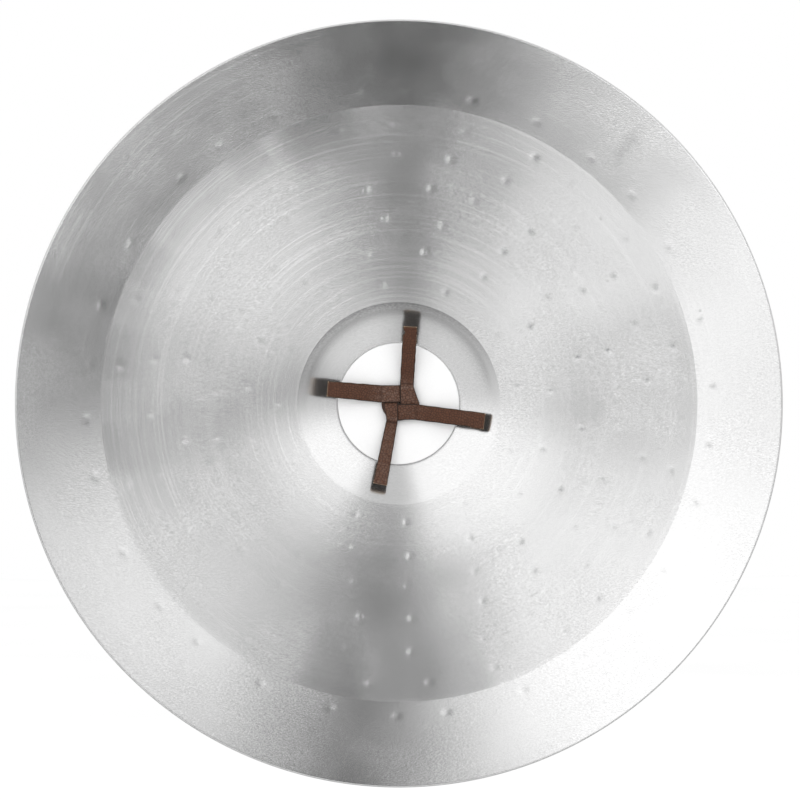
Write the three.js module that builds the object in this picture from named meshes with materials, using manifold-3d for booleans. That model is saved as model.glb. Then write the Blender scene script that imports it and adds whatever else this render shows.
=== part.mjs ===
// Hand cymbal with a leather hand strap, in millimetres, with +Z up.
// The plate's axis is Y: the hollow side faces -Y, and the bell and its hand loop face +Y.
// The origin is the centre of the bell's crown, on its outer face.
import * as THREE from "three";
import { mergeVertices } from "three/addons/utils/BufferGeometryUtils.js";
import Module from "manifold-3d";

const wasm = await Module();
wasm.setup();

// Plate: one spun sheet, with slopes in degrees below the plane of the crown
const PLATE_DIAMETER = 355.6;
const CREASE_DIAMETER = 277.6;
const WAIST_DIAMETER = 168;
const BELL_DIAMETER = 94.4;
const SHEET_THICKNESS = 1.1;
const FLANGE_SLOPE = 11;
const BOW_EDGE_SLOPE = 8.5;
const WAIST_SLOPE = 5.5;
const BOW_FOOT_SLOPE = 14;
const BELL_WALL_SLOPE = 36;
const CROWN_RADIUS = 115;
const FOOT_RADIUS = 8;
const CREASE_RADIUS = 40;
const RIM_LAND = 0.9;

// Washer under the knot
const WASHER_DIAMETER = 57.2;
const WASHER_THICKNESS = 1.6;
const WASHER_EDGE = 0.4;

// Strap leather: the crown knot and its four tails
const LEATHER = 1.8;
const TAIL_WIDTH = 6.8;
const KNOT_SEAM = 0.5;
const LEG_OFFSET = 1.4;
const FOLD_RADIUS = 3.2;
const FOLD_FALL = 15;
const KNOT_MARGIN = 0.9;
const TAIL_BEND_RADIUS = 12;
const NECK_STANDOFF = 0.5;
// Each tail ends at its reach from the knot's centre, rises off the washer and sways aside, clockwise as the
// hollow side shows it
const TAILS = [
  { name: "strap_tail_top", turn: 0, reach: 36, rise: 17, sway: 3 },
  { name: "strap_tail_right", turn: 90, reach: 40.2, rise: 10, sway: 7.5 },
  { name: "strap_tail_bottom", turn: 180, reach: 38, rise: 9, sway: 11 },
  { name: "strap_tail_left", turn: 270, reach: 33.6, rise: 13, sway: 5 },
];

// Hand loop: a band that leaves the hole as two legs, splays and closes in a round bow
const LOOP_WIDTH = 22;
const LOOP_FOOT_WIDTH = 13;
const LOOP_TAPER = 34;
const LOOP_LEG_GAP = 0.4;
const LOOP_LEG_RADIUS = 30;
const LOOP_SPLAY = 32;
const LOOP_LEG_LENGTH = 30;

// Clearances
const FIT_GAP = 0.3;
const SEAT_MARGIN = 1.2;
const HOLE_CLEARANCE = 0.5;

// Facets: round the axis, and along each bend
const PLATE_SIDES = 72;
const WASHER_SIDES = 60;
const CROWN_STEPS = 4;
const BELL_BEND_STEPS = 4;
const INNER_BOW_STEPS = 5;
const OUTER_BOW_STEPS = 4;
const CREASE_STEPS = 2;
const FOLD_STEPS = 9;
const TAIL_BEND_STEPS = 5;
const LOOP_LEG_STEPS = 5;
const LOOP_BOW_STEPS = 24;
const LOOP_FOOT_STEPS = 4;
const LOOP_TAPER_STEPS = 6;
const WELD_DISTANCE = 1e-4;

// Places worked out from the sizes above
const SEAM_HALF = KNOT_SEAM / 2;
const KNOT_REACH = SEAM_HALF + TAIL_WIDTH + KNOT_MARGIN;
const HOLE_RADIUS =
  Math.hypot(SEAM_HALF + TAIL_WIDTH, LEG_OFFSET + LEATHER / 2) + HOLE_CLEARANCE;
const CROWN_EDGE = WASHER_DIAMETER / 2 + SEAT_MARGIN;
const WASHER_SEAT = crownInside(WASHER_DIAMETER / 2) - FIT_GAP;
const WASHER_FACE = WASHER_SEAT - WASHER_THICKNESS;
const LOOP_FOOT_RADIUS = LOOP_LEG_GAP / 2 + LEATHER;
const LOOP_PIVOT = NECK_STANDOFF + LOOP_FOOT_RADIUS + FIT_GAP;

// The height of the crown's hollow side, a shallow dome, at a distance from the axis.
function crownInside(radius) {
  const half = SHEET_THICKNESS / 2;
  return Math.sqrt((CROWN_RADIUS - half) ** 2 - radius ** 2) - CROWN_RADIUS - half;
}

const sine = (degrees) => Math.sin(THREE.MathUtils.degToRad(degrees));
const cosine = (degrees) => Math.cos(THREE.MathUtils.degToRad(degrees));

// The middle line of a bent sheet or band: straight and round stretches that follow on from each other.
class Course {
  constructor(x, y, heading) {
    this.point = new THREE.Vector2(x, y);
    this.heading = heading;
    this.stations = [];
    this.mark();
  }

  mark() {
    const normal = new THREE.Vector2(-sine(this.heading), cosine(this.heading));
    this.stations.push({ point: this.point.clone(), normal });
  }

  straight(length) {
    this.point.x += length * cosine(this.heading);
    this.point.y += length * sine(this.heading);
    this.mark();
    return this;
  }

  // Turns left by a positive angle and right by a negative one.
  turn(radius, degrees, steps) {
    const side = Math.sign(degrees);
    const from = this.heading;
    const centre = new THREE.Vector2(
      this.point.x - side * radius * sine(from),
      this.point.y + side * radius * cosine(from),
    );
    for (let i = 1; i <= steps; i += 1) {
      this.heading = from + (degrees * i) / steps;
      this.point.x = centre.x + side * radius * sine(this.heading);
      this.point.y = centre.y - side * radius * cosine(this.heading);
      this.mark();
    }
    return this;
  }

  // One face of the sheet, away from the middle line by a distance to the left.
  face(distance) {
    return this.stations.map((s) => s.point.clone().addScaledVector(s.normal, distance));
  }

  outline(thickness) {
    const right = this.face(-thickness / 2);
    const left = this.face(thickness / 2).reverse();
    return [...right, ...left];
  }
}

function weld(geometry) {
  geometry.deleteAttribute("normal");
  geometry.deleteAttribute("uv");
  return mergeVertices(geometry, WELD_DISTANCE);
}

function toSolid(geometry) {
  const welded = weld(geometry);
  const vertProperties = new Float32Array(welded.attributes.position.array);
  const triVerts = new Uint32Array(welded.index.array);
  return new wasm.Manifold(new wasm.Mesh({ numProp: 3, vertProperties, triVerts }));
}

function toGeometry(solid) {
  const { vertProperties, triVerts } = solid.getMesh();
  const geometry = new THREE.BufferGeometry();
  geometry.setAttribute("position", new THREE.BufferAttribute(vertProperties, 3));
  geometry.setIndex(new THREE.BufferAttribute(triVerts, 1));
  return geometry;
}

// A closed outline of radius and height, spun about Y.
function spin(outline, sides) {
  return weld(new THREE.LatheGeometry([...outline, outline[0]], sides));
}

function extrude(outline, depth) {
  const shape = new THREE.Shape(outline);
  return new THREE.ExtrudeGeometry(shape, { depth, bevelEnabled: false });
}

// The radius of an arc that covers a run of radius while its slope goes from one angle to another.
function sweepRadius(run, slopeA, slopeB) {
  return run / Math.abs(sine(slopeA) - sine(slopeB));
}

// Bell, bow and flange as one sheet of even thickness. The bell is a shallow crown that rounds into its wall,
// the bow is steepest at the bell, eases to its waist and steepens again to the crease, and the flange runs
// straight to the rim.
function plateGeometry() {
  const half = SHEET_THICKNESS / 2;
  const holeSlope = THREE.MathUtils.radToDeg(Math.asin(HOLE_RADIUS / CROWN_RADIUS));
  const crownSlope = THREE.MathUtils.radToDeg(Math.asin(CROWN_EDGE / CROWN_RADIUS));
  const course = new Course(HOLE_RADIUS, CROWN_RADIUS * (cosine(holeSlope) - 1) - half, -holeSlope);
  course.turn(CROWN_RADIUS, holeSlope - crownSlope, CROWN_STEPS);
  const footRun = FOOT_RADIUS * (sine(BELL_WALL_SLOPE) - sine(BOW_FOOT_SLOPE));
  const wallRun = BELL_DIAMETER / 2 - footRun - CROWN_EDGE;
  const wallRadius = sweepRadius(wallRun, BELL_WALL_SLOPE, crownSlope);
  course.turn(wallRadius, crownSlope - BELL_WALL_SLOPE, BELL_BEND_STEPS);
  course.turn(FOOT_RADIUS, BELL_WALL_SLOPE - BOW_FOOT_SLOPE, BELL_BEND_STEPS);
  const innerRun = (WAIST_DIAMETER - BELL_DIAMETER) / 2;
  const innerRadius = sweepRadius(innerRun, BOW_FOOT_SLOPE, WAIST_SLOPE);
  course.turn(innerRadius, BOW_FOOT_SLOPE - WAIST_SLOPE, INNER_BOW_STEPS);
  const creaseRun = CREASE_RADIUS * (sine(FLANGE_SLOPE) - sine(BOW_EDGE_SLOPE));
  const outerRun = (CREASE_DIAMETER - WAIST_DIAMETER) / 2 - creaseRun;
  const outerRadius = sweepRadius(outerRun, BOW_EDGE_SLOPE, WAIST_SLOPE);
  course.turn(outerRadius, WAIST_SLOPE - BOW_EDGE_SLOPE, OUTER_BOW_STEPS);
  course.turn(CREASE_RADIUS, BOW_EDGE_SLOPE - FLANGE_SLOPE, CREASE_STEPS);
  const rimRun = PLATE_DIAMETER / 2 - half * sine(FLANGE_SLOPE) - course.point.x;
  course.straight(rimRun / cosine(FLANGE_SLOPE));

  const inner = course.face(-half);
  const outer = course.face(half).reverse();
  const edge = inner.pop();
  const land = edge.clone();
  land.x -= RIM_LAND * cosine(FLANGE_SLOPE);
  land.y += RIM_LAND * sine(FLANGE_SLOPE);
  const lip = new THREE.Vector2(land.x + RIM_LAND / cosine(FLANGE_SLOPE), land.y);
  return spin([...inner, land, lip, ...outer], PLATE_SIDES);
}

function washerGeometry() {
  const radius = WASHER_DIAMETER / 2;
  const outline = [
    new THREE.Vector2(HOLE_RADIUS, WASHER_FACE),
    new THREE.Vector2(radius - WASHER_EDGE, WASHER_FACE),
    new THREE.Vector2(radius, WASHER_FACE + WASHER_EDGE),
    new THREE.Vector2(radius, WASHER_SEAT - WASHER_EDGE),
    new THREE.Vector2(radius - WASHER_EDGE, WASHER_SEAT),
    new THREE.Vector2(HOLE_RADIUS, WASHER_SEAT),
  ];
  return spin(outline, WASHER_SIDES);
}

// A strip of the tails' width, drawn by its run out from the knot's centre and its lift off the washer,
// and set down on the washer as the strip that runs up +Z.
function strip(outline) {
  const geometry = extrude(outline, TAIL_WIDTH);
  geometry.translate(0, 0, SEAM_HALF);
  const run = new THREE.Vector3(0, 0, 1);
  const lift = new THREE.Vector3(0, -1, 0);
  const side = new THREE.Vector3(1, 0, 0);
  geometry.applyMatrix4(new THREE.Matrix4().makeBasis(run, lift, side));
  return geometry.translate(0, WASHER_FACE, 0);
}

// One strand of the crown: up through the hole, over its neighbour's fold and down to the knot's edge.
function strandCourse() {
  const course = new Course(-LEG_OFFSET, WASHER_FACE - NECK_STANDOFF, 90);
  course.straight(NECK_STANDOFF - WASHER_FACE);
  course.turn(FOLD_RADIUS, -90 - FOLD_FALL, FOLD_STEPS);
  course.straight((KNOT_REACH - course.point.x) / cosine(FOLD_FALL));
  return course;
}

// Four strands, each over the next one's fold and under the last one's, joined where they cross.
function knotGeometry() {
  const strand = strip(strandCourse().outline(LEATHER));
  const solids = TAILS.map(({ turn }) =>
    toSolid(strand.clone().rotateY(THREE.MathUtils.degToRad(turn))),
  );
  return toGeometry(solids.reduce((knot, next) => knot.add(next)));
}

// A free tail: it follows on from its strand, bends up off the washer and runs straight to its cut end.
function tailGeometry({ reach, rise, sway, turn }) {
  const strand = strandCourse();
  const start = strand.straight(FIT_GAP).point;
  const course = new Course(start.x, start.y, -FOLD_FALL);
  course.turn(TAIL_BEND_RADIUS, FOLD_FALL + rise, TAIL_BEND_STEPS);
  course.straight((reach - course.point.x) / cosine(rise));
  const geometry = strip(course.outline(LEATHER));
  const slant = Math.tan(THREE.MathUtils.degToRad(sway));
  geometry.translate(0, 0, -KNOT_REACH);
  geometry.applyMatrix4(new THREE.Matrix4().makeShear(0, 0, 0, 0, slant, 0));
  geometry.translate(0, 0, KNOT_REACH);
  return weld(geometry.rotateY(THREE.MathUtils.degToRad(turn)));
}

// The band's side view: two legs with rounded feet, side by side, and the teardrop between them.
function loopOutline() {
  const legCentre = (LOOP_LEG_GAP + LEATHER) / 2;
  const bendRun = LOOP_LEG_RADIUS * (1 - cosine(LOOP_SPLAY));
  const splayRun = LOOP_LEG_LENGTH * sine(LOOP_SPLAY);
  const bowRadius = (legCentre + bendRun + splayRun) / cosine(LOOP_SPLAY);
  const course = new Course(-legCentre, 0, 90);
  course.turn(LOOP_LEG_RADIUS, LOOP_SPLAY, LOOP_LEG_STEPS);
  course.straight(LOOP_LEG_LENGTH);
  course.turn(bowRadius, -180 - 2 * LOOP_SPLAY, LOOP_BOW_STEPS);
  course.straight(LOOP_LEG_LENGTH);
  course.turn(LOOP_LEG_RADIUS, LOOP_SPLAY, LOOP_LEG_STEPS);

  const footDepth = Math.sqrt(LOOP_FOOT_RADIUS ** 2 - (LOOP_LEG_GAP / 2) ** 2);
  const swing = Math.atan2(footDepth, LOOP_LEG_GAP / 2);
  const foot = [];
  for (let i = LOOP_FOOT_STEPS; i > 0; i -= 1) {
    const angle = (swing * i) / LOOP_FOOT_STEPS;
    foot.push(new THREE.Vector2(LOOP_FOOT_RADIUS * Math.cos(angle), -LOOP_FOOT_RADIUS * Math.sin(angle)));
  }
  const otherFoot = foot.map((p) => new THREE.Vector2(-p.x, p.y)).reverse();
  const inside = course.face(-LEATHER / 2);
  const outside = course.face(LEATHER / 2).reverse();
  return [...inside, ...foot, ...outside, ...otherFoot];
}

// The band's front view: narrow at the hole, widening to the hand's width.
function loopFront(height) {
  const narrow = LOOP_FOOT_WIDTH / 2;
  const wide = LOOP_WIDTH / 2;
  const shape = new THREE.Shape();
  shape.moveTo(-narrow, -LOOP_FOOT_RADIUS);
  shape.lineTo(narrow, -LOOP_FOOT_RADIUS);
  shape.lineTo(narrow, 0);
  shape.bezierCurveTo(narrow, LOOP_TAPER / 2, wide, LOOP_TAPER / 2, wide, LOOP_TAPER);
  shape.lineTo(wide, height);
  shape.lineTo(-wide, height);
  shape.lineTo(-wide, LOOP_TAPER);
  shape.bezierCurveTo(-wide, LOOP_TAPER / 2, -narrow, LOOP_TAPER / 2, -narrow, 0);
  return shape.getPoints(LOOP_TAPER_STEPS);
}

function loopGeometry() {
  const band = extrude(loopOutline(), LOOP_WIDTH).translate(0, 0, -LOOP_WIDTH / 2);
  band.computeBoundingBox();
  const { min, max } = band.boundingBox;
  const front = extrude(loopFront(max.y + LEATHER), max.x - min.x + 2 * LEATHER);
  front.translate(0, 0, min.x - LEATHER);
  const across = new THREE.Vector3(0, 0, -1);
  const up = new THREE.Vector3(0, 1, 0);
  const through = new THREE.Vector3(1, 0, 0);
  front.applyMatrix4(new THREE.Matrix4().makeBasis(across, up, through));
  const loop = toSolid(band).intersect(toSolid(front));
  return toGeometry(loop).translate(0, LOOP_PIVOT, 0);
}

const metal = { color: 0xc9c9c9, roughness: 0.3, metalness: 1 };
const whitePlastic = { color: 0xf7f7f7, roughness: 0.55, metalness: 0 };
const leather = { color: 0x563c30, roughness: 0.65, metalness: 0 };

const cymbal = new THREE.Group();

function addPart(name, geometry, finish) {
  const mesh = new THREE.Mesh(geometry, new THREE.MeshStandardMaterial(finish));
  mesh.name = name;
  cymbal.add(mesh);
}

addPart("cymbal_plate", plateGeometry(), metal);
addPart("knot_washer", washerGeometry(), whitePlastic);
addPart("strap_knot", knotGeometry(), leather);
TAILS.forEach((tail) => addPart(tail.name, tailGeometry(tail), leather));
addPart("strap_hand_loop", loopGeometry(), leather);

export default cymbal;
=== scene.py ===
# Hand cymbal seen from its hollow side: a spun and hammered plate, a white washer and a leather strap
# that is tied inside the bell in a crown knot. The plate's axis is Y, the hollow side faces -Y, +Z is up.
# A clock angle is measured clockwise from the right, as the photo shows it.
import math
import random

import bpy
import numpy as np
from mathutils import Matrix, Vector


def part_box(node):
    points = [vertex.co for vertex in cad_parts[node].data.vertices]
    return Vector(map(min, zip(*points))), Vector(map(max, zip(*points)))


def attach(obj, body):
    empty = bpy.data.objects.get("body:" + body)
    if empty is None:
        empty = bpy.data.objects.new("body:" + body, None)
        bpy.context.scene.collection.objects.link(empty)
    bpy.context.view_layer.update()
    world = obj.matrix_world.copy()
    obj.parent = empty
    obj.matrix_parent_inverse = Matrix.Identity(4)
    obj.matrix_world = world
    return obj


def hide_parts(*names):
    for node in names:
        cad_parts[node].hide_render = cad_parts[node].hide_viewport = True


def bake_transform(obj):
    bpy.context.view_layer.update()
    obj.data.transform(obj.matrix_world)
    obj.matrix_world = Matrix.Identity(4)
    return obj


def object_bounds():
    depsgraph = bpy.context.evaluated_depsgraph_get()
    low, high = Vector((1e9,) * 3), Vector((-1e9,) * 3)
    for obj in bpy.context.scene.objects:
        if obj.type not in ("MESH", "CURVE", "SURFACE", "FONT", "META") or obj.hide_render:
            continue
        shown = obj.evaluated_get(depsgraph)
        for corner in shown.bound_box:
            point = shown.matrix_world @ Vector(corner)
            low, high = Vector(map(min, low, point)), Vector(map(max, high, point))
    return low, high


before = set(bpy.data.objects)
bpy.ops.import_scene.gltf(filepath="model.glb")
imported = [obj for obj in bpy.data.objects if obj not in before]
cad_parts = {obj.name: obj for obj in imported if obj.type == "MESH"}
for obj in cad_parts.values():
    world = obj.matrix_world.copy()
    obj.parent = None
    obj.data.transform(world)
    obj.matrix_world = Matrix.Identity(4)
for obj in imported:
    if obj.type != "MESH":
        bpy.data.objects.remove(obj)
cad_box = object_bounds()

MM = 0.001

# Plate: one spun sheet, with slopes in degrees below the plane of the crown
CREASE_AT = 138.8 * MM
WAIST_AT = 84 * MM
BELL_AT = 47.2 * MM
HOLE_RADIUS = 7.916 * MM
CROWN_EDGE = 29.8 * MM
SHEET = 1.1 * MM
FLANGE_SLOPE = 11
BOW_EDGE_SLOPE = 8.5
WAIST_SLOPE = 5.5
BOW_FOOT_SLOPE = 14
BELL_WALL_SLOPE = 36
CROWN_RADIUS = 115 * MM
FOOT_RADIUS = 8 * MM
CREASE_RADIUS = 40 * MM
RIM_LAND = 0.5 * MM
RIM_EASE = 0.12 * MM
RIM_LEAD = 4 * RIM_EASE
HOLE_EASE = 0.3 * MM
PLATE_SHARP = 50

# The plate's mesh: the step of the dense line that its rows are picked from, and the rows' spacing by place
PLATE_SIDES = 600
LINE_STEP = 0.1 * MM
COARSE_ROW = 3 * MM
BEND_ROW = 1.2 * MM
HOLLOW_FINE_ROW = 0.55 * MM
OUTSIDE_FINE_ROW = 1.1 * MM
BELL_MARGIN_IN = 2 * MM
BELL_MARGIN_OUT = 3 * MM
CREASE_MARGIN = 4 * MM

# The plate's finishes, in the order of its material slots
BELL, BOW, FLANGE, OUTSIDE, EDGE = range(5)

# Hammer marks: rings of small blows from the outside, which stand proud on the hollow side
MARK_RINGS = 7
FIRST_RING = 56.4 * MM
RING_SPACING = 14.85 * MM
MARK_SPACING = 30 * MM
MARK_DEPTH = 0.075 * MM
MARK_LIGHTEST = 0.6
MARK_HEAVIEST = 1.3
MARK_ALONG = 1.1 * MM
MARK_ACROSS = 0.9 * MM
MARK_WANDER = 0.6 * MM
MARK_STRAY = 0.2
MARK_SEED = 7
# How many times its length a mark is followed, in the mesh's fine rows and in all
MARK_FINE_REACH = 2.6
MARK_REACH = 4

# The hammered sheet is never quite true: slow waves, of lengths between these, lean by this angle at most.
# They fade out beside the bell and the rim, whose last stretch stays true, and weaken past the crease
WAVES = 7
WAVE_SHORT = 34 * MM
WAVE_LONG = 70 * MM
WAVE_LEAN = 0.13
WAVE_SEED = 3
WAVE_FADE = 12 * MM
RIM_TRUE = 2 * MM
CREASE_FADE = 5 * MM
FLANGE_WAVES = 0.4

# Metal: rolled grain, which is short and level, turned circles with fine scratches in relief that are
# painted lighter, as glints, on one side, and painted shade on the hammer marks of the other. Here and
# below, two numbers are a range, and two more are what it becomes
ROLLED_SCALE = (850, 850, 2300)
ROLLED_RANGE = (0.35, 0.65)
ROLLED_LEAST = 0.35
ROLLED_RELIEF = 4.0
CIRCLE_SCALE = 900
CIRCLE_BREAKS = 0.7
SCRATCH_RANGE = (0.52, 0.66)
SCRATCH_RELIEF = 2.0
SCRATCH_GLINT_SIDE = (-0.64, 0, 0.77)
SCRATCH_GLINTS_SHOWN = (0.1, 0.95, 0.2, 1)
SCRATCHES_CLOUDED = (0.35, 0.6, 0.3, 1)
MARK_SHADE_SIDE = (0.1, 0.8)
MARK_SHADE_DARK = 0.22
PATCH_TONE = 0.02
ROUGHNESS_SPREAD = 0.015
QUARTER_TURN = 0.25

# Each flaw on the hollow side: its place in mm, its half sizes, its lean in degrees and how much it darkens
FLAWS = [
    (106, 120, 5, 13, 38, 0.16),
    (63, -89, 0.6, 3.5, 58, 0.14),
    (52, -97, 0.6, 4, 62, 0.12),
    (50, -107, 0.5, 3, 70, 0.1),
    (94, 86, 1, 1, 0, 0.14),
    (97, 57, 0.9, 0.8, 0, 0.15),
    (140, 43, 0.9, 0.9, 0, 0.2),
    (-87, -154, 0.5, 4, 40, -0.14),
    (-14, -172, 0.5, 3, 50, -0.14),
]
# How ragged the flaws' edges are, and where they end, as shares of the half sizes
FLAW_EDGE = (0.2, 0.8, -0.35, 0.35)
FLAW_END = 1.2

# Grainy dark patches at the bell's foot and at the crease, painted into the colour as dark reflections: the
# clock angle, the half width in degrees, how far the patch reaches in from there in mm and how much it
# darkens
FOOT_PAINTED_REFLECTION = [
    (265, 112, 6.5, 0.5),
]
CREASE_PAINTED_REFLECTIONS = [
    (215, 62, 28, 0.22),
    (79, 10, 50, 0.22),
    (104, 9, 48, 0.28),
    (171, 7, 34, 0.16),
    (190, 7, 30, 0.16),
    (209, 6, 24, 0.14),
    (238, 5, 20, 0.14),
    (253, 10, 40, 0.36),
    (276, 7, 28, 0.14),
]
PAINTED_REFLECTION_GRAIN = (0.35, 0.65, 0.7, 1.3)

# Washer under the knot
WASHER_EDGE = 0.45 * MM
WASHER_SIDES = 180
WASHER_TURNS = np.radians(np.linspace(0, 90, 5))
WASHER_SHARP = 40
WASHER_FINE = (0.95, 0.975)
WASHER_BROAD = (0.985, 1.0)
WASHER_ROUGHNESS = (0.5, 0.6)

# Leather bands: the half width of a slit, as a share of the band's, the columns across a face from edge to
# edge, the turns of the eased edges and their share of the thickness, which the crowned face rises above
SLIT_SHARE = 0.06
COLUMNS = np.array([-1, -0.8, -0.5, -0.2, -SLIT_SHARE, 0, SLIT_SHARE, 0.2, 0.5, 0.8, 1])
EDGE_TURNS = np.radians([60, 30, 0, -30, -60])
EDGE_SHARE = 0.88
CROWN_SHARE = 0.12
CROWN_POWER = 4
LEATHER = 1.8 * MM
LEATHER_EDGE = 0.4 * MM
LEATHER_SHARP = 60
# A knife's unevenness along the cut edges: waves of these lengths in mm, and their sizes on tails and loop
KNIFE_WAVES = 4
KNIFE_LENGTHS = (4, 14)
KNIFE_PHASES = (0, 6.3)
KNIFE_WEIGHTS = (0.3, 1)
TAIL_KNIFE = 0.04 * MM
LOOP_KNIFE = 0.08 * MM
STRAP_SEED = 11

# The leather's materials, in the order of their slots, with their ranges and colours
GRAIN, FLESH, CUT = range(3)
PEBBLES = 820.0
PEBBLE_WANDER = (1.1 * MM, 0.8 * MM, 0)
PEBBLE_DOME = (0.0, 0.22, 0, 1)
PEBBLE_WORN = (0, 1, 0.4, 1)
FILM_WORN = (0.36, 0.66, 0.1, 0.75)
FILM_RELIEF = 0.8
LEATHER_PATCHED = (0.35, 0.7, 0, 0.4)
FIBRE_BARE = (-0.25, 0.25)
CORE_BARE = (0.35, 0.8, 0, 1)
GRAIN_ROUGHNESS = (0.52, 0.66)
FLESH_ROUGHNESS = (0.85, 0.95)
CUT_ROUGHNESS = (0.75, 0.9)
LEATHER_CREASE = (0.036, 0.014, 0.009, 1)
LEATHER_PEBBLE = (0.106, 0.043, 0.0225, 1)
LEATHER_PATCH = (0.072, 0.03, 0.017, 1)
LEATHER_PALE = (0.185, 0.125, 0.1, 1)
LEATHER_FOLD_SHADE = (0.022, 0.011, 0.008, 1)
FLESH_DARK = (0.08, 0.073, 0.068, 1)
FLESH_PALE = (0.17, 0.155, 0.145, 1)
FLESH_PATCH = (0.1, 0.09, 0.083, 1)
CUT_BLACK = (0.022, 0.015, 0.012, 1)
CUT_BROWN = (0.05, 0.03, 0.022, 1)
CUT_CREAM = (0.5, 0.37, 0.25, 1)

# Strands of the crown knot, with their free tails
LEG_OFFSET = 1.4 * MM
LEG_DEPTH = 2.5 * MM
FOLD_RADIUS = 3.2 * MM
KNOT_FALL = 4
KNOT_REACH = 7.95 * MM
KNOT_TILT = 9
STEP_RADIUS = 1.1 * MM
STEP_FALL = 42
STEP_LENGTH = 0.4 * MM
TAIL_BEND_RADIUS = 4 * MM
STRAND_STEP = 0.45 * MM
# Where things change along a strand, from the knot's edge: its heading, its tilt, its knife cuts, its rub
SWAY_FROM, SWAY_TO = -2 * MM, 1.5 * MM
TILT_FROM, TILT_TO = -4 * MM, 1 * MM
KNIFE_FROM, KNIFE_TO = 0, 5 * MM
RUB_FROM, RUB_TO = -2 * MM, 9 * MM
# The crest of a step, lightened by a painted highlight, and the fold behind it, darkened by painted shade
CREST_LENGTH = 0.5 * MM
FOLD_BEHIND = 1.5 * MM
FOLD_LENGTH = 0.45 * MM
# How bare the cut edges are: at the knot, how much more near the end, and at the end itself
BARE_ROOT = 0.1
BARE_RISE = 0.3
BARE_END = 0.85
SWELL_LENGTH = 8 * MM
NICK_AT = 3 * MM
NICK_LENGTH = 1.1 * MM
CORNER = 0.35 * MM
# Each strand runs from the knot's centre: its turn about Y, its free end's reach, rise and sway, where it
# steps down off its neighbour, the clear strip beside the knot's seam, its width in the knot and at its
# end, how much wider its root flares and its end swells, the depth of a nick beside its end, how far its
# tail and its stretch in the knot are worn, and how strong the painted shade in the fold behind its step
# and the painted highlight on its crest are
STRANDS = [
    {"name": "top", "turn": 0, "reach": 36, "rise": 17, "sway": 3, "step": 7.4, "seam": 0.55,
     "width": 6.5, "tip": 6.8, "flare": 2.8, "swell": 0, "nick": 1.0,
     "wear_and_highlight": 0.05, "knot_rub": 0.65, "fold": 0.55},
    {"name": "right", "turn": 90, "reach": 40.2, "rise": 10, "sway": 7.5, "step": 6.2, "seam": 0.2,
     "width": 7.4, "tip": 7.4, "flare": 0.2, "swell": 0.5, "nick": 0,
     "wear_and_highlight": 0.12, "knot_rub": 0.4, "fold": 0.12},
    {"name": "bottom", "turn": 180, "reach": 38, "rise": 9, "sway": 11, "step": 6.8, "seam": 0.3,
     "width": 5.4, "tip": 6.8, "flare": 1.5, "swell": 0, "nick": 0,
     "wear_and_highlight": 0.7, "knot_rub": 0.4, "fold": 0.6},
    {"name": "left", "turn": 270, "reach": 33.6, "rise": 13, "sway": 5, "step": 6.2, "seam": 0.4,
     "width": 8.2, "tip": 7.5, "flare": 0.1, "swell": 0, "nick": 0,
     "wear_and_highlight": 0.15, "knot_rub": 0.85, "fold": 0.3},
]

# Hand loop: a band that leaves the hole as two legs, splays and closes in a round bow
LOOP_WIDTH = 22 * MM
LOOP_FOOT_WIDTH = 13 * MM
LOOP_TAPER = 34 * MM
LOOP_LEG_GAP = 0.4 * MM
LOOP_LEG_RADIUS = 30 * MM
LOOP_SPLAY = 32
LOOP_LEG_LENGTH = 30 * MM
LOOP_PIVOT = 2.8 * MM
LOOP_ROOT = 6.5 * MM
LOOP_STEP = 1.2 * MM
LOOP_SLIT_FROM, LOOP_SLIT_TO = 4 * MM, 9 * MM
LOOP_SLIT_DEPTH = 0.9
LOOP_WEAR = 0.3

# Camera and floor
PHOTO_WIDTH = 800
RIM_WIDTH_IN_PHOTO = 768.6
RIM_DROP_IN_PHOTO = 2.7
VIEW_DISTANCE = 1.5
VIEW_AZIMUTH = -1.4
VIEW_ELEVATION = -1
SENSOR = 36
FLOOR_DROP = 0.16
FLOOR_SIZE = 14
FLOOR_TONE = (0.8, 0.82)
FLOOR_GLOW = 0.15

# Light: what the metal mirrors. Wedges of soft light stand about the line of sight as a flat plate mirrors
# it, each with its clock angle, the half widths in degrees of its full light and of its fading edge, its
# brightness, and the angles off that line where it starts and ends
ROOM_BRIGHTNESS = 0.02
LENS_LIGHT = 0.06
LENS_EDGE = 3
LENS_CLEAR = 6
AMBIENT = 1.05
WEDGES = [
    (38, 12, 44, 1.9, 4, 13),
    (137, 4, 38, 2.1, 4, 13),
    (221, 6, 39, 1.5, 4, 13),
    (317, 4, 16, 0.5, 4, 13),
    (128, 6, 30, 0.35, 13, 21),
    (206, 31, 77, 1.4, 13, 21),
    (322, 6, 46, 1.15, 13, 21),
]
WEDGE_FADE = 2
# A dome of light takes over from the wedges. It is dimmer below, where two soft lamps stand, darker still
# near the floor, and an overhead boom crosses it. Lamps and boom have a clock angle, half widths as above
# and a strength
DOME_START = 21
DOME_BELOW = 0.57
DOME_ABOVE = 1.2
DOME_LOW = -0.15
DOME_HIGH = 0.45
LOW_LAMPS = [
    (55, 8, 40, 0.25),
    (152, 22, 58, 0.2),
]
BOOM = (278, 6, 24, 0.45)
HORIZON_START = 54
HORIZON_END = 68
HORIZON_LOW = -0.35
HORIZON_DARK = 0.35
# The backdrop behind the plate is white at its middle and falls off to the sides and down. Its places are
# parts of a unit direction
BACKDROP_START = -0.1
BACKDROP_SIDE = 0.3
BACKDROP_MIDDLE = 0.95
BACKDROP_EDGE = 0.35
BACKDROP_LOW = -0.5
BACKDROP_HIGH = 0.5
BACKDROP_BELOW = 0.6
BACKDROP_ABOVE = 1.1
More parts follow.
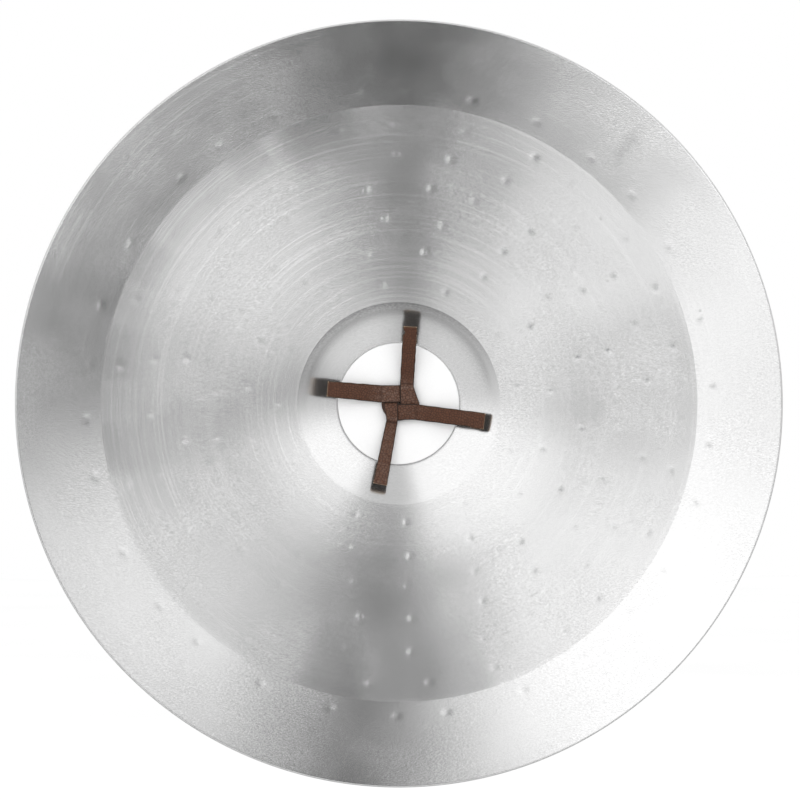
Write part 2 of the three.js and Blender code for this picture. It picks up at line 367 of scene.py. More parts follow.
# Soft lamps: the clock angle, the angle off the axis (over 90 is behind the bell), width and height in
# metres, and how bright the lamp's face is
LAMP_DISTANCE = 1.5
LAMPS = [
    ("key_softbox", 225, 45, 0.8, 0.8, 1.2),
    ("fill_softbox", 330, 50, 0.8, 0.8, 0.7),
    ("rear_softbox", 240, 130, 0.8, 0.8, 1.2),
]

# The range that most of a noise's values lie in, and its middle
NOISE_LOW = 0.3
NOISE_HIGH = 0.7
NOISE_MIDDLE = 0.5


def sine(degrees):
    return math.sin(math.radians(degrees))


def cosine(degrees):
    return math.cos(math.radians(degrees))


def smooth(value, low, high):
    """0 below low, 1 above high, with an eased step between."""
    t = np.clip((np.asarray(value, float) - low) / (high - low), 0, 1)
    return t * t * (3 - 2 * t)


class Course:
    """The middle line of a bent sheet: straight and round stretches that follow on from each other."""

    def __init__(self, x, y, heading, step):
        self.x, self.y, self.heading, self.step = x, y, heading, step
        self.marks = [(x, y, heading)]

    def mark(self):
        self.marks.append((self.x, self.y, self.heading))

    def straight(self, length):
        count = max(1, round(length / self.step))
        for _ in range(count):
            self.x += length / count * cosine(self.heading)
            self.y += length / count * sine(self.heading)
            self.mark()

    def turn(self, radius, degrees):
        """Turns left by a positive angle and right by a negative one."""
        side = math.copysign(1, degrees)
        start = self.heading
        centre_x = self.x - side * radius * sine(start)
        centre_y = self.y + side * radius * cosine(start)
        count = max(1, round(radius * math.radians(abs(degrees)) / self.step))
        for i in range(1, count + 1):
            self.heading = start + degrees * i / count
            self.x = centre_x + side * radius * sine(self.heading)
            self.y = centre_y - side * radius * cosine(self.heading)
            self.mark()

    def lines(self):
        """Points, unit tangents and unit normals to the left, as arrays."""
        x, y, heading = np.array(self.marks).T
        angle = np.radians(heading)
        points = np.stack([x, y], 1)
        tangents = np.stack([np.cos(angle), np.sin(angle)], 1)
        normals = np.stack([-np.sin(angle), np.cos(angle)], 1)
        return points, tangents, normals


# Node helpers
def node(tree, kind, inputs=None, **settings):
    made = tree.nodes.new(kind)
    for key, value in settings.items():
        setattr(made, key, value)
    for key, value in (inputs or {}).items():
        fill(tree, made.inputs[key], value)
    return made


def fill(tree, socket, value):
    """Links a socket to another one or sets its constant."""
    if isinstance(value, bpy.types.NodeSocket):
        tree.links.new(value, socket)
    else:
        socket.default_value = value


def calc(tree, operation, *values):
    return node(tree, "ShaderNodeMath", dict(enumerate(values)), operation=operation).outputs[0]


def vector(tree, operation, *values):
    return node(tree, "ShaderNodeVectorMath", dict(enumerate(values)), operation=operation).outputs[0]


def measure(tree, operation, *values):
    """A number that is worked out from vectors."""
    made = node(tree, "ShaderNodeVectorMath", dict(enumerate(values)), operation=operation)
    return made.outputs["Value"]


def remap(tree, value, from_low, from_high, to_low, to_high, ease=False):
    """A value carried from one range to another, held at its ends."""
    inputs = {"Value": value, "From Min": from_low, "From Max": from_high,
              "To Min": to_low, "To Max": to_high}
    kind = "SMOOTHSTEP" if ease else "LINEAR"
    return node(tree, "ShaderNodeMapRange", inputs, interpolation_type=kind).outputs[0]


def noise(tree, place, scale, detail=2.0, roughness=0.5):
    inputs = {"Vector": place, "Scale": scale, "Detail": detail, "Roughness": roughness}
    return node(tree, "ShaderNodeTexNoise", inputs).outputs["Fac"]


def spread(tree, value, low, high):
    """A noise's usual values carried to a range."""
    return remap(tree, value, NOISE_LOW, NOISE_HIGH, low, high)


def near_clock(tree, facing, clock, full, gone, value):
    """A value round a clock angle: whole within one half width in degrees and gone beyond another."""
    nearness = measure(tree, "DOT_PRODUCT", facing, (cosine(clock), 0, -sine(clock)))
    return remap(tree, nearness, cosine(gone), cosine(full), 0, value, ease=True)


def less(tree, value, share):
    """A value lowered by a share of it."""
    return calc(tree, "MULTIPLY", value, calc(tree, "SUBTRACT", 1.0, share))


def blend_value(tree, factor, first, second):
    return node(tree, "ShaderNodeMix", {0: factor, 2: first, 3: second}, data_type="FLOAT").outputs[0]


def blend_colour(tree, factor, first, second):
    return node(tree, "ShaderNodeMix", {0: factor, 6: first, 7: second}, data_type="RGBA").outputs[2]


def relief(tree, height, strength, distance):
    """A shading normal from a height."""
    inputs = {"Strength": strength, "Distance": distance, "Height": height}
    return node(tree, "ShaderNodeBump", inputs).outputs[0]


def attribute(tree, name):
    return node(tree, "ShaderNodeAttribute", attribute_name=name).outputs["Fac"]


def object_place(tree):
    return node(tree, "ShaderNodeTexCoord").outputs["Object"]


def leather_place(tree):
    """The leather's own length and width, in metres, so that the grain stays put when it bends."""
    return node(tree, "ShaderNodeUVMap", uv_map="cut").outputs[0]


def new_material(name):
    material = bpy.data.materials.new(name)
    material.use_nodes = True
    tree = material.node_tree
    return material, tree, tree.nodes["Principled BSDF"]


def set_inputs(tree, shader, **values):
    for key, value in values.items():
        fill(tree, shader.inputs[key.replace("_", " ")], value)


# Metal: rolled sheet with a short level grain, turned in fine circles that stretch its highlights outwards
def metal_finish(name, tone, roughness, stretch, grain_depth, scratch_depth,
                 flaws=False, painted_reflections=(), border=0):
    material, tree, shader = new_material(name)
    place = object_place(tree)
    flat = vector(tree, "MULTIPLY", place, (1, 0, 1))
    radius = measure(tree, "LENGTH", flat)
    facing = vector(tree, "NORMALIZE", flat)
    around = node(tree, "ShaderNodeSeparateXYZ", {0: facing}).outputs
    circles = [calc(tree, "MULTIPLY", radius, CIRCLE_SCALE)]
    circles += [calc(tree, "MULTIPLY", around[axis], CIRCLE_BREAKS) for axis in ("X", "Z")]
    circles = node(tree, "ShaderNodeCombineXYZ", dict(enumerate(circles))).outputs[0]
    level = vector(tree, "MULTIPLY", place, ROLLED_SCALE)

    grain = noise(tree, level, scale=1.0, detail=3, roughness=0.6)
    lines = noise(tree, circles, scale=1.0, detail=2, roughness=0.8)
    patches = noise(tree, place, scale=26, detail=2)
    clouds = noise(tree, place, scale=9, detail=1)
    depth = remap(tree, patches, *ROLLED_RANGE, ROLLED_LEAST * grain_depth, grain_depth, ease=True)
    coarse = calc(tree, "MULTIPLY", calc(tree, "SUBTRACT", grain, NOISE_MIDDLE), depth)
    # Painted highlight: fine scratches painted lighter, as glints, mostly on the upper left; they also give
    # relief
    side = measure(tree, "DOT_PRODUCT", facing, SCRATCH_GLINT_SIDE)
    shown = remap(tree, side, *SCRATCH_GLINTS_SHOWN)
    shown = calc(tree, "MULTIPLY", shown, remap(tree, clouds, *SCRATCHES_CLOUDED))
    scratches = calc(tree, "MULTIPLY", remap(tree, lines, *SCRATCH_RANGE, 0, scratch_depth), shown)
    shade = calc(tree, "ADD", calc(tree, "ADD", 1.0, coarse), scratches)
    patchy = spread(tree, patches, (1 - PATCH_TONE) * tone, (1 + PATCH_TONE) * tone)
    shade = calc(tree, "MULTIPLY", shade, patchy)
    if flaws:
        # Painted shade: the hammer marks are darker on the right side, where their flanks face away from
        # the light
        mark_shade = remap(tree, around["X"], *MARK_SHADE_SIDE, 0, MARK_SHADE_DARK, ease=True)
        shade = less(tree, shade, calc(tree, "MULTIPLY", attribute(tree, "mark_shade"), mark_shade))
        shade = calc(tree, "MULTIPLY", shade, flaw_shade(tree, flat))
    # Dark reflections painted into the colour, in grainy patches
    for patch in painted_reflections:
        shade = less(tree, shade, painted_reflection_dark(tree, patch, border, radius, facing, grain))
    rough = spread(tree, patches, roughness - ROUGHNESS_SPREAD, roughness + ROUGHNESS_SPREAD)
    height = calc(tree, "MULTIPLY", coarse, ROLLED_RELIEF)
    height = calc(tree, "ADD", height, calc(tree, "MULTIPLY", scratches, SCRATCH_RELIEF))
    normal = relief(tree, height, strength=0.6, distance=0.014 * MM)
    tangent = node(tree, "ShaderNodeTangent", direction_type="RADIAL", axis="Y").outputs[0]
    set_inputs(tree, shader, Base_Color=shade, Roughness=rough, Metallic=1.0, Anisotropic=stretch,
               Anisotropic_Rotation=QUARTER_TURN, Tangent=tangent, Normal=normal)
    return material


def flaw_shade(tree, flat):
    """Darkening by a thumb smudge and a few stains: 1 where the metal is clean."""
    shade = 1.0
    for x, z, across, along, lean, depth in FLAWS:
        mapping = node(tree, "ShaderNodeMapping", {
            "Vector": flat,
            "Location": (x * MM, 0, z * MM),
            "Rotation": (0, math.radians(lean), 0),
            "Scale": (across * MM, 1, along * MM),
        }, vector_type="TEXTURE")
        far = measure(tree, "LENGTH", mapping.outputs[0])
        soft = calc(tree, "ADD", far, remap(tree, noise(tree, flat, scale=260, detail=3), *FLAW_EDGE))
        shade = calc(tree, "MULTIPLY", shade, remap(tree, soft, 0.0, FLAW_END, 1 - depth, 1.0, ease=True))
    return shade


def painted_reflection_dark(tree, patch, border, radius, facing, grain):
    """How much a grainy painted dark reflection darkens the metal: 0 outside it."""
    clock, half_width, reach, depth = patch
    near = near_clock(tree, facing, clock, 0, half_width, 1)
    close = remap(tree, radius, border - reach * MM, border, 0, depth, ease=True)
    close = calc(tree, "MULTIPLY", close, remap(tree, grain, *PAINTED_REFLECTION_GRAIN))
    return calc(tree, "MULTIPLY", near, close)


def washer_finish():
    material, tree, shader = new_material("washer_white")
    place = object_place(tree)
    fine = noise(tree, place, scale=1400, detail=3)
    broad = noise(tree, place, scale=90)
    tone = calc(tree, "MULTIPLY", spread(tree, fine, *WASHER_FINE), spread(tree, broad, *WASHER_BROAD))
    set_inputs(tree, shader, Base_Color=tone, Roughness=spread(tree, broad, *WASHER_ROUGHNESS),
               Normal=relief(tree, fine, strength=0.3, distance=0.02 * MM))
    return material


def leather_grain():
    """The dyed outer face: close pebbles with dark creases between them, under a film that is worn where
    the knot is pulled. A painted highlight pales the crest of each step, and painted shade darkens the fold
    behind it."""
    material, tree, shader = new_material("leather_grain")
    place = leather_place(tree)
    wander = noise(tree, place, scale=700, detail=2)
    drift = node(tree, "ShaderNodeVectorMath", {0: PEBBLE_WANDER, "Scale": wander}, operation="SCALE")
    moved = vector(tree, "ADD", place, drift.outputs[0])
    cells = node(tree, "ShaderNodeTexVoronoi", {"Vector": moved, "Scale": PEBBLES},
                 feature="DISTANCE_TO_EDGE", voronoi_dimensions="2D").outputs["Distance"]
    pebble = remap(tree, cells, *PEBBLE_DOME, ease=True)
    patches = noise(tree, place, scale=260, detail=3)
    film = noise(tree, moved, scale=620, detail=4, roughness=0.65)
    body = blend_colour(tree, pebble, LEATHER_CREASE, LEATHER_PEBBLE)
    body = blend_colour(tree, remap(tree, patches, *LEATHER_PATCHED), body, LEATHER_PATCH)
    # Wear pales the film, and so does a painted highlight on each step's crest
    paling = calc(tree, "MULTIPLY", remap(tree, film, *FILM_WORN), attribute(tree, "wear_and_highlight"))
    paling = calc(tree, "MULTIPLY", paling, remap(tree, pebble, *PEBBLE_WORN))
    colour = blend_colour(tree, paling, body, LEATHER_PALE)
    # Painted shade in the fold behind each step
    colour = blend_colour(tree, attribute(tree, "fold"), colour, LEATHER_FOLD_SHADE)
    height = calc(tree, "ADD", pebble, calc(tree, "MULTIPLY", film, FILM_RELIEF))
    set_inputs(tree, shader, Base_Color=colour, Roughness=spread(tree, patches, *GRAIN_ROUGHNESS),
               Specular_IOR_Level=0.22, Normal=relief(tree, height, strength=0.7, distance=0.1 * MM))
    return material


def leather_flesh():
    """The inner face: a short dark nap."""
    material, tree, shader = new_material("leather_flesh")
    place = leather_place(tree)
    nap = noise(tree, place, scale=2600, detail=4, roughness=0.7)
    patches = noise(tree, place, scale=240, detail=2)
    colour = blend_colour(tree, nap, FLESH_DARK, FLESH_PALE)
    colour = blend_colour(tree, remap(tree, patches, *LEATHER_PATCHED), colour, FLESH_PATCH)
    set_inputs(tree, shader, Base_Color=colour, Roughness=spread(tree, nap, *FLESH_ROUGHNESS),
               Specular_IOR_Level=0.2, Normal=relief(tree, nap, strength=0.6, distance=0.1 * MM))
    return material


def leather_cut():
    """Cut edges: dark where the dye took, cream where the knife left the core bare, and dark on the lower
    half of each edge and end as painted shade.
    """
    material, tree, shader = new_material("leather_cut")
    fibre = noise(tree, leather_place(tree), scale=1600, detail=3)
    shown = calc(tree, "ADD", attribute(tree, "bare_and_shade"), spread(tree, fibre, *FIBRE_BARE))
    dark = blend_colour(tree, fibre, CUT_BLACK, CUT_BROWN)
    colour = blend_colour(tree, remap(tree, shown, *CORE_BARE, ease=True), dark, CUT_CREAM)
    set_inputs(tree, shader, Base_Color=colour, Roughness=spread(tree, fibre, *CUT_ROUGHNESS),
               Specular_IOR_Level=0.25, Normal=relief(tree, fibre, strength=0.5, distance=0.08 * MM))
    return material


def new_piece(name, vertices, faces, materials, indices):
    """A smooth mesh of the object, with a material for each face."""
    mesh = bpy.data.meshes.new(name)
    mesh.from_pydata(vertices, [], faces)
    for material in materials:
        mesh.materials.append(material)
    mesh.polygons.foreach_set("material_index", np.asarray(indices, np.int32))
    mesh.shade_smooth()
    mesh.update()
    piece = bpy.data.objects.new(name, mesh)
    bpy.context.scene.collection.objects.link(piece)
    return piece


def add_attribute(piece, name, values):
    piece.data.attributes.new(name, "FLOAT", "POINT").data.foreach_set("value", values.ravel())


def spun_faces(rows, sides):
    """Quads of a closed profile spun about Y, rows first, that face out if its -Y side runs outwards."""
    i, j = np.meshgrid(np.arange(rows), np.arange(sides), indexing="ij")
    i_next, j_next = (i + 1) % rows, (j + 1) % sides
    corners = [i * sides + j, i * sides + j_next, i_next * sides + j_next, i_next * sides + j]
    return np.stack([c.ravel() for c in corners], 1)


def turns_of(sides):
    """Angles round Y, from the top and clockwise as the photo shows them, in radians."""
    return np.arange(sides) / sides * 2 * math.pi


def spun_points(radius, height):
    """Points of rows by sides, from each row's radius and height, which may vary round the axis."""
    angle = turns_of(radius.shape[1])
    x, z = radius * np.sin(angle), radius * np.cos(angle)
    return np.stack([x, np.broadcast_to(height, radius.shape), z], 2)


# Plate
def plate_course():
    half = SHEET / 2
    hole_slope = math.degrees(math.asin(HOLE_RADIUS / CROWN_RADIUS))
    crown_slope = math.degrees(math.asin(CROWN_EDGE / CROWN_RADIUS))
    course = Course(HOLE_RADIUS, CROWN_RADIUS * (cosine(hole_slope) - 1) - half, -hole_slope, LINE_STEP)
    course.turn(CROWN_RADIUS, hole_slope - crown_slope)
    foot_run = FOOT_RADIUS * (sine(BELL_WALL_SLOPE) - sine(BOW_FOOT_SLOPE))
    wall_radius = (BELL_AT - foot_run - CROWN_EDGE) / (sine(BELL_WALL_SLOPE) - sine(crown_slope))
    course.turn(wall_radius, crown_slope - BELL_WALL_SLOPE)
    course.turn(FOOT_RADIUS, BELL_WALL_SLOPE - BOW_FOOT_SLOPE)
    inner_radius = (WAIST_AT - BELL_AT) / (sine(BOW_FOOT_SLOPE) - sine(WAIST_SLOPE))
    course.turn(inner_radius, BOW_FOOT_SLOPE - WAIST_SLOPE)
    crease_run = CREASE_RADIUS * (sine(FLANGE_SLOPE) - sine(BOW_EDGE_SLOPE))
    outer_radius = (CREASE_AT - WAIST_AT - crease_run) / (sine(BOW_EDGE_SLOPE) - sine(WAIST_SLOPE))
    course.turn(outer_radius, WAIST_SLOPE - BOW_EDGE_SLOPE)
    course.turn(CREASE_RADIUS, BOW_EDGE_SLOPE - FLANGE_SLOPE)
    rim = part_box("cymbal_plate")[1].x - half * sine(FLANGE_SLOPE)
    course.straight((rim - course.x) / cosine(FLANGE_SLOPE))
    return course.lines()


def hammer_marks():
    """Radius, angle and depth of each blow: even steps round each ring, but for a hand's wander."""
    draw = random.Random(MARK_SEED)
    marks = []
    for ring in range(MARK_RINGS):
        radius = FIRST_RING + ring * RING_SPACING
        count = round(2 * math.pi * radius / MARK_SPACING)
        phase = draw.uniform(0, 2 * math.pi)
        for i in range(count):
            angle = phase + (i + draw.uniform(-MARK_STRAY, MARK_STRAY)) * 2 * math.pi / count
            place = radius + draw.uniform(-MARK_WANDER, MARK_WANDER)
            marks.append((place, angle, MARK_DEPTH * draw.uniform(MARK_LIGHTEST, MARK_HEAVIEST)))
    return marks


def rows_of(points, fine_row):
    """Which points of the dense line become rows: closer at the bends and along the rings of marks."""
    radius = points[:, 0]
    rings = FIRST_RING + np.arange(MARK_RINGS) * RING_SPACING
    reach = MARK_WANDER + MARK_FINE_REACH * MARK_ALONG
    marked = (np.abs(radius[:, None] - rings) < reach).any(1)
    bell = (radius > CROWN_EDGE - BELL_MARGIN_IN) & (radius < BELL_AT + BELL_MARGIN_OUT)
    crease = np.abs(radius - CREASE_AT) < CREASE_MARGIN
    spacing = np.where(marked, fine_row, np.where(bell | crease, BEND_ROW, COARSE_ROW))
    progress = np.cumsum(np.full(len(points), LINE_STEP) / spacing)
    picks = np.searchsorted(progress, np.arange(progress[0], progress[-1], 1.0))
    return np.unique(np.append(picks, len(points) - 1))


def dents(radius):
    """How far each point of rows by sides is pushed towards the hollow side by the hammer."""
    angle = turns_of(PLATE_SIDES)
    push = np.zeros((len(radius), PLATE_SIDES))
    for place, at, depth in hammer_marks():
        rows = np.abs(radius - place) < MARK_REACH * MARK_ALONG
        along = (radius[rows, None] - place) / MARK_ALONG
        turn = (angle - at + math.pi) % (2 * math.pi) - math.pi
        across = turn * place / MARK_ACROSS
        push[rows] += depth * np.exp(-(along**2 + across**2) / 2)
    return push


def unevenness(radius):
    """How far the sheet's slow waves carry each point of rows by sides: not at all at the bell and rim."""
    draw = random.Random(WAVE_SEED)
    angle = turns_of(PLATE_SIDES)
    x, z = radius[:, None] * np.sin(angle), radius[:, None] * np.cos(angle)
    push = np.zeros_like(x)
    for _ in range(WAVES):
        length = draw.uniform(WAVE_SHORT, WAVE_LONG)
        heading = draw.uniform(0, 360)
        phase = draw.uniform(0, 2 * math.pi)
        run = (x * cosine(heading) + z * sine(heading)) * 2 * math.pi / length
        push += math.radians(WAVE_LEAN) * length / (2 * math.pi) * np.sin(run + phase)
    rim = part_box("cymbal_plate")[1].x
    fade = smooth(radius, BELL_AT, BELL_AT + WAVE_FADE)
    fade *= 1 - smooth(radius, rim - WAVE_FADE, rim - RIM_TRUE)
    fade *= 1 - (1 - FLANGE_WAVES) * smooth(radius, CREASE_AT - CREASE_FADE, CREASE_AT + CREASE_FADE)
    return push * fade[:, None]


def make_plate():
    points, tangents, normals = plate_course()
    half = SHEET / 2
    hollow = rows_of(points, HOLLOW_FINE_ROW)
    outside = rows_of(points, OUTSIDE_FINE_ROW)[::-1]
    hollow_line = points[hollow] - half * normals[hollow]
    outside_line = points[outside] + half * normals[outside]
    edge = hollow_line[-1]
    land = edge + RIM_LAND * np.array([-cosine(FLANGE_SLOPE), sine(FLANGE_SLOPE)])
    lip = land + np.array([RIM_LAND / cosine(FLANGE_SLOPE), 0])
    keep = hollow_line[:, 0] < land[0] - RIM_LEAD - RIM_EASE
    brim = outside_line[0]
    up = (brim - lip) / np.linalg.norm(brim - lip)
    back = tangents[-1]
    rim = np.array([
        land - RIM_LEAD * back,
        land - RIM_EASE * back,
        land + [RIM_EASE, 0],
        lip - [RIM_EASE, 0],
        lip + RIM_EASE * up,
        brim - RIM_EASE * up,
        brim - RIM_EASE * back,
    ])
    start, end = hollow_line[0], outside_line[-1]
    bore = (end - start) / np.linalg.norm(end - start)
    throat = np.array([end - HOLE_EASE * bore, start + HOLE_EASE * bore])
    hollow_line[0, 0] += HOLE_EASE
    outside_line[-1, 0] += HOLE_EASE

    # Rows in order: hollow side, rim, outside, throat. Blows and waves push the hollow side and the outside
    # along the sheet's normals
    hollow_rows, outside_rows = hollow[keep], outside[1:]
    line = np.concatenate([hollow_line[keep], rim, outside_line[1:], throat])
    first_rim = len(hollow_rows)
    first_outside = first_rim + len(rim)
    last_outside = first_outside + len(outside_rows)
    aims = np.zeros_like(line)
    aims[:first_rim] = -normals[hollow_rows]
    aims[first_outside:last_outside] = -normals[outside_rows]
    middle = np.zeros(len(line))
    middle[:first_rim] = points[hollow_rows, 0]
    middle[first_outside:last_outside] = points[outside_rows, 0]
    blows = dents(middle)
    push = blows + unevenness(middle)
    radius = line[:, :1] + push * aims[:, :1]
    height = line[:, 1:] + push * aims[:, 1:]
    vertices = spun_points(radius, height).reshape(-1, 3)

    zones = np.searchsorted([BELL_AT, CREASE_AT], points[hollow_rows, 0])
    finish_of_row = np.full(len(line), OUTSIDE)
    finish_of_row[:first_rim] = np.array([BELL, BOW, FLANGE])[zones]
    finish_of_row[first_rim] = FLANGE
    finish_of_row[first_rim + 1 : first_outside - 1] = EDGE
    materials = [
        metal_finish("cymbal_bell", tone=0.8, roughness=0.2, stretch=0.65, grain_depth=0.45,
                     scratch_depth=0.06, painted_reflections=FOOT_PAINTED_REFLECTION, border=BELL_AT),
        metal_finish("cymbal_bow", tone=0.8, roughness=0.235, stretch=0.96, grain_depth=0.7,
                     scratch_depth=0.2, flaws=True, painted_reflections=CREASE_PAINTED_REFLECTIONS, border=CREASE_AT),
        metal_finish("cymbal_flange", tone=0.79, roughness=0.16, stretch=0.6, grain_depth=0.65,
                     scratch_depth=0.1, flaws=True),
        metal_finish("cymbal_outside", tone=0.8, roughness=0.34, stretch=0.8, grain_depth=0.5,
                     scratch_depth=0.25),
        metal_finish("cymbal_edge", tone=0.75, roughness=0.5, stretch=0.0, grain_depth=0.5,
                     scratch_depth=0.0),
    ]
    faces = spun_faces(len(line), PLATE_SIDES)
    finishes = np.repeat(finish_of_row, PLATE_SIDES)
    plate = new_piece("cymbal_plate_spun", vertices, faces, materials, finishes)
    # How strongly the hammer marked each point, which sets the painted shade on the marks
    add_attribute(plate, "mark_shade", (blows / MARK_DEPTH) ** 2)
    plate.data.set_sharp_from_angle(angle=math.radians(PLATE_SHARP))
    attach(plate, "plate")
    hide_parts("cymbal_plate")


# Washer
def make_washer():
    low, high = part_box("knot_washer")
    front, back = low.y, high.y
    inner, outer = HOLE_RADIUS + WASHER_EDGE, high.x - WASHER_EDGE
    corners = [(inner, front, -1, -1), (outer, front, 1, -1), (outer, back, 1, 1), (inner, back, -1, 1)]
    line = []
    for number, (radius, height, out, rear) in enumerate(corners):
        for turn in WASHER_TURNS if number % 2 else WASHER_TURNS[::-1]:
            run, rise = WASHER_EDGE * math.sin(turn), WASHER_EDGE * (1 - math.cos(turn))
            line.append((radius + out * run, height - rear * rise))
    line = np.array(line)
    radius = np.repeat(line[:, :1], WASHER_SIDES, axis=1)
    vertices = spun_points(radius, line[:, 1:]).reshape(-1, 3)
    faces = spun_faces(len(line), WASHER_SIDES)
    washer = new_piece("knot_washer_moulded", vertices, faces, [washer_finish()], np.zeros(len(faces)))
    washer.data.set_sharp_from_angle(angle=math.radians(WASHER_SHARP))
    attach(washer, "washer")
    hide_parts("knot_washer")


# Leather: a band swept along a line, with a crowned grain face, a flesh face and eased edges
def make_band(name, centre, side, up, inner, outer, bare_and_shade, wear_and_highlight, fold, groove, materials):
    """Stations along the line carry their centre, side and up vectors, the distances to both edges, how
    bare the cut edges are, how worn the grain is, with a painted highlight on each step's crest, how dark
    the painted shade in the fold behind each step is and how deep a slit pinches the middle. The lower half
    of each cut edge is kept dark as painted shade."""
    stations = len(centre)
    half = LEATHER / 2
    low = -(inner - LEATHER_EDGE)[:, None]
    high = (outer - LEATHER_EDGE)[:, None]
    share = (COLUMNS + 1) / 2
    across = low + (high - low) * share
    pinch = 1 - groove[:, None] * np.clip(1 - np.abs(COLUMNS) / SLIT_SHARE, 0, 1)
    crown = CROWN_SHARE * half * (1 - COLUMNS**CROWN_POWER)
    top = (half * EDGE_SHARE + crown) * pinch
    edge_out = high + LEATHER_EDGE * np.cos(EDGE_TURNS)
    edge_in = low - LEATHER_EDGE * np.cos(EDGE_TURNS)
    edge_up = np.broadcast_to(half * EDGE_SHARE * np.sin(EDGE_TURNS), edge_out.shape)
    across = np.concatenate([across, edge_out, across[:, ::-1], edge_in], 1)
    lift = np.concatenate([top, edge_up, -top[:, ::-1], -edge_up], 1)
    around = across.shape[1]
    points = centre[:, None] + across[..., None] * side[:, None] + lift[..., None] * up[:, None]

    columns, turns = len(COLUMNS), len(EDGE_TURNS)
    far = 2 * columns + turns - 1
    kinds = np.full(around, CUT)
    kinds[: columns - 1] = GRAIN
    kinds[columns + turns : far] = FLESH
    faces = []
    for station in range(stations - 1):
        here, there = station * around, (station + 1) * around
        for k in range(around):
            following = (k + 1) % around
            faces.append((here + k, here + following, there + following, there + k))
    indices = list(np.tile(kinds, stations - 1))
    for station, flip in ((0, False), (stations - 1, True)):
        at = station * around
        caps = [(at + k, at + far - k, at + far - k - 1, at + k + 1) for k in range(columns - 1)]
        caps.append(tuple(at + k for k in range(columns - 1, columns + turns + 1)))
        caps.append(tuple(at + k % around for k in range(far, around + 1)))
        faces += [cap[::-1] if flip else cap for cap in caps]
        indices += [CUT] * len(caps)
    band = new_piece(name, points.reshape(-1, 3), faces, materials, indices)

    steps = np.linalg.norm(np.diff(centre, axis=0), axis=1)
    length = np.concatenate([[0], np.cumsum(steps)])
    girth = np.concatenate([[0], np.cumsum(np.hypot(np.diff(across[0]), np.diff(lift[0])))])
    corner = np.zeros(len(band.data.loops), np.int32)
    band.data.loops.foreach_get("vertex_index", corner)
    cut = band.data.uv_layers.new(name="cut")
    cut.data.foreach_set("uv", np.stack([length[corner // around], girth[corner % around]], 1).ravel())
    shown = np.repeat(bare_and_shade[:, None], around, 1)
    # Painted shade: the lower half of each cut edge and end is kept dark, never bare
    shown[:, columns + turns // 2 + 1 : far + turns // 2 + 1] = 0
    add_attribute(band, "bare_and_shade", shown)
    add_attribute(band, "wear_and_highlight", np.repeat(wear_and_highlight, around))
    add_attribute(band, "fold", np.repeat(fold, around))
    band.data.set_sharp_from_angle(angle=math.radians(LEATHER_SHARP))
    return band


def ragged(count, step, size, draw):
    """A knife's unevenness along an edge: a few slow waves."""
    run = np.arange(count) * step
    sway = 0
    for _ in range(KNIFE_WAVES):
        length = draw.uniform(*KNIFE_LENGTHS) * MM
        phase, weight = draw.uniform(*KNIFE_PHASES), draw.uniform(*KNIFE_WEIGHTS)
        sway = sway + weight * np.sin(2 * math.pi * run / length + phase)
    return size * sway


# Strands of the crown knot: each comes up through the hole under its neighbour, folds over the next one and
# runs out as a free tail
def strand_course(sizes):
    course = Course(-LEG_OFFSET, -LEG_DEPTH, 90, STRAND_STEP)
    course.straight(LEG_DEPTH)
    course.turn(FOLD_RADIUS, -90 - KNOT_FALL)
    course.straight((sizes["step"] * MM - course.x) / cosine(KNOT_FALL))
    course.turn(STEP_RADIUS, KNOT_FALL - STEP_FALL)
    course.straight(STEP_LENGTH)
    course.turn(TAIL_BEND_RADIUS, STEP_FALL + sizes["rise"])
    course.straight((sizes["reach"] * MM - course.x) / cosine(sizes["rise"]))
    points, _, normals = course.lines()
    return points[:, 0], points[:, 1], normals


